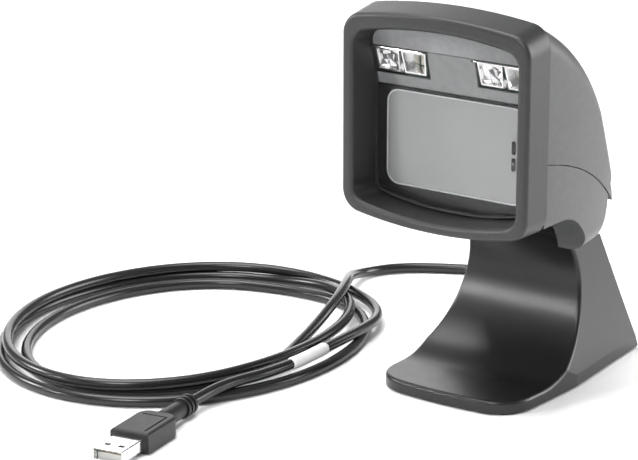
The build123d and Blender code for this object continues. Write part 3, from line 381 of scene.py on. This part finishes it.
@dataclass
class UsbCord:
    """The free cord: tail from the stand, three loose turns, and the lead to the plug."""

    diameter: float = 4.2 * MM
    length: float = 1.65
    tail: tuple[Point, ...] = (
        (0.0, 67.0, 8.6),
        (-1.5, 83.0, 5.2),
        (-14.0, 98.0, 2.2),
        (-36.0, 104.5, 2.2),
        (-62.0, 102.0, 2.2),
        (-86.0, 92.5, 2.2),
        (-106.0, 79.5, 2.2),
        (-113.5, 63.5, 2.4),
        (-107.5, 45.5, 6.8),
        (-96.5, 29.0, 10.7),
        (-86.0, 7.0, 10.6),
        (-81.5, -14.0, 5.2),
        (-77.6, -34.0, 2.3),
        (-72.0, -51.0, 2.2),
    )
    lead: tuple[Point, ...] = (
        (-64.6, -84.0, 6.4),
        (-66.2, -93.5, 6.3),
        (-67.4, -102.5, 5.2),
        (-67.5, -110.5, 4.3),
    )
    centre: tuple[float, float] = (-124.3, -45.0)
    half_axes: tuple[float, float] = (75.0, 60.5)
    tilt_deg: float = 98.0
    steps_per_turn: int = 24
    corner_cut: float = 0.6
    # Strand by strand: angle in degrees, place across the band and height, in mm.
    stations: tuple[Point, ...] = (
        (-118.0, -5.0, 2.2),
        (-180.0, -3.5, 2.2),
        (-270.0, -4.5, 2.2),
        (-360.0, -6.6, 2.2),
        (-376.0, -3.4, 2.2),
        (-390.0, 2.0, 2.2),
        (-400.0, 6.4, 2.2),
        (-412.0, 9.2, 2.2),
        (-424.0, 9.4, 2.2),
        (-450.0, 8.0, 2.2),
        (-540.0, 6.4, 2.2),
        (-630.0, 6.2, 2.2),
        (-718.0, 3.4, 2.3),
        (-735.0, 3.6, 4.4),
        (-744.0, 4.2, 5.9),
        (-756.0, 4.9, 6.4),
        (-770.0, 4.0, 6.4),
        (-787.0, -0.2, 6.4),
        (-810.0, -4.4, 5.9),
        (-830.0, -5.2, 6.4),
        (-900.0, 0.4, 5.8),
        (-990.0, 5.6, 6.2),
        (-1060.0, 5.6, 6.2),
        (-1080.0, 6.8, 5.8),
        (-1102.0, 9.4, 5.2),
        (-1115.0, 13.2, 4.4),
        (-1128.0, 15.2, 4.0),
        (-1136.0, 14.8, 4.6),
        (-1142.0, 13.0, 5.4),
        (-1150.0, 9.4, 6.4),
        (-1160.0, 4.8, 6.4),
        (-1172.0, 2.6, 6.4),
        (-1197.0, 4.6, 6.4),
    )
    jacket: Finish = polished("cord_jacket", (0.012, 0.012, 0.013), 0.26)
    film: Finish = polished("sleeve_label", (0.82, 0.82, 0.82), 0.35)
    label_length: float = 23.0 * MM
    label_wall: float = 0.3 * MM
    label_points: int = 24
    label_sides: int = 32

    def turns(self) -> np.ndarray:
        """Control points of the coil's turns.

        Each is the ellipse's centre plus its half-axes, widened by the strand's place across
        the band, times the cosine and sine of the angle.

        Returns:
            Array (n, 3) in mm.
        """
        table = np.array(self.stations)
        step = 360.0 / self.steps_per_turn
        angles = np.arange(table[0, 0], table[-1, 0] - 0.5 * step, -step)
        across = np.interp(-angles, -table[:, 0], table[:, 1]) + self.corner_cut
        height = np.interp(-angles, -table[:, 0], table[:, 2])
        a, tilt = np.radians(angles), np.radians(self.tilt_deg)
        long_part = (self.half_axes[0] + across) * np.cos(a)
        short_part = (self.half_axes[1] + across) * np.sin(a)
        x = self.centre[0] + long_part * np.cos(tilt) - short_part * np.sin(tilt)
        y = self.centre[1] + long_part * np.sin(tilt) + short_part * np.cos(tilt)
        return np.stack([x, y, height], axis=-1)

    def build(self, shop: Workshop) -> None:
        """Make the cord's spline, its sleeve label, and declare both.

        Args:
            shop: where meshes and finishes are made.
        """
        route = np.vstack([np.array(self.tail), self.turns(), np.array(self.lead)]) * MM
        curve = bpy.data.curves.new("usb_cord", "CURVE")
        curve.dimensions = "3D"
        spline = curve.splines.new("NURBS")
        spline.points.add(len(route) - 1)
        spline.points.foreach_set("co", np.hstack([route, np.ones((len(route), 1))]).ravel())
        spline.order_u = 3
        spline.use_endpoint_u = True
        spline.resolution_u = 8
        curve.resolution_u = 8
        curve.materials.append(shop.material(self.jacket))
        cord = bpy.data.objects.new("usb_cord", curve)
        bpy.context.scene.collection.objects.link(cord)
        line = self._line(cord)
        run = np.concatenate([[0.0], np.cumsum(np.linalg.norm(np.diff(line, axis=0), axis=1))])
        LOG.info("cord is %.3f m long", run[-1])
        curve.bevel_depth = self.diameter / 2
        curve.bevel_resolution = 6
        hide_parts("cord_tail", "cord_coil", "cord_lead")
        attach(cord, "stand")
        label = self._label(shop, line, run)

    def _line(self, cord: bpy.types.Object) -> np.ndarray:
        """Points of the cord's own spline, read before it has a thickness."""
        bpy.context.view_layer.update()
        graph = bpy.context.evaluated_depsgraph_get()
        mesh = bpy.data.meshes.new_from_object(cord.evaluated_get(graph))
        points = np.zeros(len(mesh.vertices) * 3)
        mesh.vertices.foreach_get("co", points)
        bpy.data.meshes.remove(mesh)
        return points.reshape(-1, 3)

    def _label(self, shop: Workshop, line: np.ndarray, run: np.ndarray) -> bpy.types.Object:
        """Sleeve label: a thin tube round the cord where its CAD node is."""
        low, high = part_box("cord_label")
        middle = np.array((low + high) / 2)
        # The label is on the cord's last quarter.
        tail = len(line) * 3 // 4
        near = tail + int(np.argmin(np.linalg.norm(line[tail:] - middle, axis=1)))
        spots = run[near] + np.linspace(-0.5, 0.5, self.label_points) * self.label_length
        path = np.stack([np.interp(spots, run, line[:, i]) for i in range(3)], axis=-1)
        # The wall is a fifth as thick at both ends.
        from_end = np.arange(self.label_points)
        ease = np.clip(np.minimum(from_end, from_end[::-1]), 0, 1)
        radius = self.diameter / 2 + self.label_wall * (0.2 + 0.8 * ease)
        rings = tube_rings(path, radius, self.label_sides)
        label = shop.grid("sleeve_label", rings, self.film, wrap_v=True, caps=True)
        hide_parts("cord_label")
        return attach(label, "stand")


@dataclass
class WindowDetails:
    """Small pieces seen through the window: the panel's outline, its slots and the trims."""

    centre_z: float = 96.7
    half_w: float = 30.0
    half_h: float = 18.1
    corner: float = 5.0
    bead: float = 0.35
    bead_y: float = -38.9
    bead_sides: int = 10
    slot_x: float = 25.0
    slot_z: tuple[float, float] = (93.8, 100.0)
    slot_half: tuple[float, float] = (0.8, 2.5)
    trim_x: tuple[float, float] = (10.4, 33.6)
    trim_z: float = 131.0
    trim_y: float = -45.0
    trim_r: float = 0.35
    trim_points: int = 12
    sheet_y: float = -38.6
    sheet_crown: float = 0.3
    # Black strip under the pane: painted shade of the gap between the window and the bezel.
    gap_strip_y: tuple[float, float] = (-41.4, -38.4)
    gap_strip_half: float = 32.8
    gap_strip_foot: float = 71.85
    gap_strip_least: float = 0.8
    gap_strip_top: float = 73.1
    gap_strip_bow: float = 4.2
    facet_x: tuple[float, float] = (16.2, -27.9)
    facet_z: float = 125.6
    facet_y: float = -39.9
    facet_lean: float = 0.255
    facet_half: tuple[float, float] = (5.0, 4.1)
    facet_depth: float = 1.1
    # Pale see-through sheet: painted light standing in for the bright view through the window.
    window_light_sheet: Finish = Finish("painted_window_light", (0.53, 0.53, 0.53), 0.16, Surface.POLISHED, 0.03, 9.0,
                             0.002, coat=0.3, alpha=0.62)
    # Black strip colour: painted shade of the gap under the pane.
    gap_shade: Finish = grained("painted_gap_shade", 0.012, 0.6)
    # Pale bead colour: a painted highlight along the panel's edge.
    bright: Finish = polished("painted_edge_highlight", (0.62, 0.63, 0.64), 0.2)
    # Black pads: painted shade standing in for two small apertures.
    aperture_shade: Finish = polished("painted_aperture_shade", (0.01, 0.01, 0.011), 0.2)
    chrome: Finish = metal("trim_chrome", (0.85, 0.85, 0.86), 0.08, Surface.PLATED)

    def outline(self, shop: Workshop) -> bpy.types.Object:
        """Thin pale bead round the clear panel, a painted highlight along its edge: circles carried round
        a rounded rectangle.
        """
        loop = rounded_rectangle(self.half_w - self.bead, self.half_h - self.bead, self.corner)
        outward = np.stack([loop[:, 0] / self.half_w, loop[:, 1] / self.half_h], axis=-1)
        outward /= np.linalg.norm(outward, axis=1, keepdims=True)
        t = np.linspace(0, 2 * np.pi, self.bead_sides, endpoint=False)
        x = loop[:, None, 0] + self.bead * np.cos(t) * outward[:, None, 0]
        z = self.centre_z + loop[:, None, 1] + self.bead * np.cos(t) * outward[:, None, 1]
        y = self.bead_y + self.bead * np.sin(t) + 0 * x
        ring = np.stack([x, y, z], axis=-1) * MM
        return shop.grid("panel_outline", ring, self.bright, wrap_u=True, wrap_v=True)

    def slots(self, shop: Workshop) -> list[bpy.types.Object]:
        """Two black slots behind the pane, low rounded pads: painted shade standing in for two small
        apertures.
        """
        pieces = []
        for index, z in enumerate(self.slot_z):
            half_w, half_h = self.slot_half
            levels = np.array([[0.0, 0.0], [0.9, 0.0], [1.0, 0.1], [1.0, 0.3]])
            loop = rounded_rectangle(half_w, half_h, 0.95 * half_w, 8)
            x = self.slot_x + levels[:, None, 0] * loop[None, :, 0]
            height = z + levels[:, None, 0] * loop[None, :, 1]
            y = self.bead_y - 0.2 + levels[:, None, 1] + 0 * x
            points = np.stack([x, y, height], axis=-1) * MM
            pieces.append(shop.grid(f"panel_slot_{index + 1}", points, self.aperture_shade, wrap_v=True))
        return pieces

    def panel(self, shop: Workshop) -> bpy.types.Object:
        """Pale sheet in the mask's opening, painted light: it stands in for the bright view through the
        window, which is clear on the real scanner.

        Across, x is the half width times u. Up, z is v times half the rounded rectangle's height
        at that x. The sheet is crowned by cos(u pi / 2) times cos(v pi / 2).
        """
        u = np.sin(np.linspace(-np.pi / 2, np.pi / 2, 49))[:, None]
        v = np.linspace(1, -1, 15)[None, :]
        into_corner = np.maximum(np.abs(u) * self.half_w - (self.half_w - self.corner), 0)
        reach = np.sqrt(np.maximum(self.corner ** 2 - into_corner ** 2, 0))
        x = self.half_w * u + 0 * v
        z = self.centre_z + v * (self.half_h - self.corner + reach)
        y = self.sheet_y - self.sheet_crown * np.cos(u * np.pi / 2) * np.cos(v * np.pi / 2)
        return shop.grid("painted_window_light", np.stack([x, y, z], axis=-1) * MM, self.window_light_sheet)

    def facets(self, shop: Workshop) -> list[bpy.types.Object]:
        """Faceted chrome insert in one cell of each reflector.

        A leaning flat grid whose inner points move by sines of their place, shaded flat.
        """
        pieces = []
        for name, middle in (("right", self.facet_x[0]), ("left", self.facet_x[1])):
            u = np.linspace(-1, 1, 7)[:, None]
            v = np.linspace(1, -1, 5)[None, :]
            shift = np.sin(5.3 * u + 2.9 * v + middle) * np.cos(4.1 * v - 3.7 * u)
            x = middle + self.facet_half[0] * (u + 0.1 * shift) + 0 * v
            z = self.facet_z + self.facet_half[1] * (v + 0.14 * np.cos(6 * u) * (1 - v ** 2))
            y = self.facet_y - self.facet_lean * (z - self.facet_z) + self.facet_depth * shift
            points = np.stack([x, y, z], axis=-1) * MM
            piece = shop.grid(f"reflector_facets_{name}", points, self.chrome)
            piece.data.shade_flat()
            pieces.append(piece)
        return pieces

    def gap_strip(self, shop: Workshop) -> bpy.types.Object:
        """Black strip under the pane, painted shade of the gap there: a rectangle carried along the
        opening's bowed lower edge.

        Its foot is the middle's height plus the bow times (x / half width) squared.
        """
        x = np.linspace(-self.gap_strip_half, self.gap_strip_half, 49)[:, None]
        low = self.gap_strip_foot + self.gap_strip_bow * (x / self.gap_strip_half) ** 2
        high = np.maximum(self.gap_strip_top, low + self.gap_strip_least)
        front, rear = self.gap_strip_y
        y = np.array([[front, rear, rear, front]]) + 0 * x
        z = np.concatenate([low, low, high, high], axis=1)
        points = np.stack([x + 0 * y, y, z], axis=-1) * MM
        return shop.grid("window_gap_strip", points, self.gap_shade, wrap_v=True, caps=True)

    def trims(self, shop: Workshop) -> list[bpy.types.Object]:
        """Thin bright rods along the top of the reflectors."""
        pieces = []
        for name, side in (("right", 1), ("left", -1)):
            x = np.linspace(*self.trim_x, self.trim_points) * side
            line = np.stack([x, 0 * x + self.trim_y, 0 * x + self.trim_z], axis=-1) * MM
            rings = tube_rings(line, np.full(self.trim_points, self.trim_r * MM), self.trim_points)
            trim = shop.grid(f"reflector_trim_{name}", rings, self.chrome, wrap_v=True, caps=True)
            pieces.append(trim)
        return pieces

    def build(self, shop: Workshop) -> None:
        """Make every detail and fix it to the head.

        Args:
            shop: where meshes and finishes are made.
        """
        for piece, slot in [(self.outline(shop), "panel_light"),
                            (self.panel(shop), "panel_light"),
                            (self.gap_strip(shop), "mask_black"),
                            *[(p, "mask_black") for p in self.slots(shop)],
                            *[(p, "reflector_chrome") for p in self.facets(shop)],
                            *[(p, "reflector_chrome") for p in self.trims(shop)]]:
            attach(piece, "head")
            LOG.info("made %s", piece.name)


@dataclass
class Head:
    """The tilting head's CAD nodes and their finishes."""

    finishes: dict[str, Finish] = field(default_factory=lambda: {
        "front_bezel": grained("bezel_plastic", 0.024, 0.42),
        "rear_housing": grained("housing_plastic", 0.066, 0.42),
        "lower_cover": grained("cover_plastic", 0.072, 0.42),
        "scan_window": Finish("window_glass", (0.05, 0.05, 0.05), 0.03, Surface.POLISHED, 0.01,
                              20.0, 0.001, coat=1.0, alpha=0.12),
        "window_mask": polished("mask_black", (0.012, 0.012, 0.013), 0.2),
        "reflector_panel": grained("bridge_grey", 0.28, 0.35),
        "upper_panel": grained("upper_panel_grey", 0.37, 0.4),
        "reflector_right": metal("reflector_chrome", (0.95, 0.95, 0.95), 0.16, Surface.PLATED),
        "reflector_left": metal("reflector_chrome", (0.95, 0.95, 0.95), 0.16, Surface.PLATED),
        "led_board": polished("solder_mask", (0.02, 0.11, 0.05), 0.35),
        "led_emitters": polished("led_cap", (0.85, 0.84, 0.7), 0.1),
        "optics_frame": grained("frame_black", 0.02, 0.5),
        "optics_chamber": grained("chamber_grey", 0.88, 0.5),
        "fold_mirror": metal("front_silvering", (0.92, 0.93, 0.93), 0.42, Surface.PLATED),
        "head_screws": metal("screw_steel", (0.5, 0.5, 0.5), 0.3, Surface.PLATED),
        "imager_module": grained("imager_black", 0.02, 0.4),
        "imager_lens": polished("lens_coating", (0.02, 0.025, 0.05), 0.05, 1.0),
        "main_board": polished("solder_mask", (0.02, 0.11, 0.05), 0.35),
        "board_chips": grained("chip_resin", 0.02, 0.5),
        "board_connector": polished("connector_ivory", (0.7, 0.68, 0.6), 0.4),
        "beeper": grained("beeper_black", 0.02, 0.4),
        "board_posts": metal("post_steel", (0.5, 0.5, 0.5), 0.3, Surface.PLATED),
        "hinge_pin": metal("pin_steel", (0.5, 0.5, 0.51), 0.25, Surface.BRUSHED),
        "pin_retainers": metal("pin_steel", (0.5, 0.5, 0.51), 0.25, Surface.BRUSHED),
        "head_lead": polished("inner_jacket", (0.012, 0.012, 0.013), 0.35),
    })

    def build(self, shop: Workshop) -> None:
        """Dress the head's nodes.

        Args:
            shop: where finishes are made.
        """
        for node, finish in self.finishes.items():
            shop.dress(node, finish)
        LOG.info("dressed %d head pieces", len(self.finishes))


@dataclass
class Stand:
    """The stand's, hinge's and plug's CAD nodes and their finishes."""

    finishes: dict[str, Finish] = field(default_factory=lambda: {
        "stand_shell": grained("stand_plastic", 0.009, 0.32),
        "stand_back_cover": grained("back_cover_black", 0.02, 0.5),
        "base_plate": grained("base_black", 0.02, 0.5),
        "rubber_feet": grained("foot_rubber", 0.02, 0.8),
        "ballast_weight": metal("ballast_iron", (0.2, 0.2, 0.2), 0.6, Surface.BRUSHED),
        "base_screws": metal("base_screw_steel", (0.5, 0.5, 0.5), 0.3, Surface.PLATED),
        "lead_clamp": grained("clamp_black", 0.02, 0.5),
        "inner_lead": polished("inner_jacket", (0.012, 0.012, 0.013), 0.35),
        "hinge_bush_right": polished("bearing_acetal", (0.6, 0.6, 0.56), 0.4),
        "hinge_bush_left": polished("bearing_acetal", (0.6, 0.6, 0.56), 0.4),
        "thrust_washers": polished("bearing_acetal", (0.6, 0.6, 0.56), 0.4),
        "friction_clip": metal("spring_steel", (0.4, 0.4, 0.42), 0.3, Surface.BRUSHED),
        "cord_strain_relief": polished("relief_black", (0.014, 0.014, 0.015), 0.4),
        "plug_strain_relief": polished("plug_black", (0.010, 0.010, 0.011), 0.48),
        "plug_overmould": polished("plug_black", (0.010, 0.010, 0.011), 0.48),
        "plug_shell": metal("plug_nickel", (0.78, 0.78, 0.79), 0.14, Surface.PLATED),
        "plug_tongue": polished("tongue_ivory", (0.7, 0.7, 0.66), 0.4),
        "plug_contacts": metal("contact_gold", (0.85, 0.6, 0.25), 0.2, Surface.PLATED),
    })

    def build(self, shop: Workshop) -> None:
        """Dress the stand's nodes.

        Args:
            shop: where finishes are made.
        """
        for node, finish in self.finishes.items():
            shop.dress(node, finish)
        LOG.info("dressed %d stand pieces", len(self.finishes))


def main() -> None:
    """Build the studio, the cord and every finish, in order."""
    logging.basicConfig(level=logging.INFO, format="%(name)s: %(message)s")
    shop = Workshop()
    studio = Studio()
    studio.camera()
    UsbCord().build(shop)
    studio.build(shop)
    Head().build(shop)
    WindowDetails().build(shop)
    Stand().build(shop)


if __name__ == "__main__":
    main()
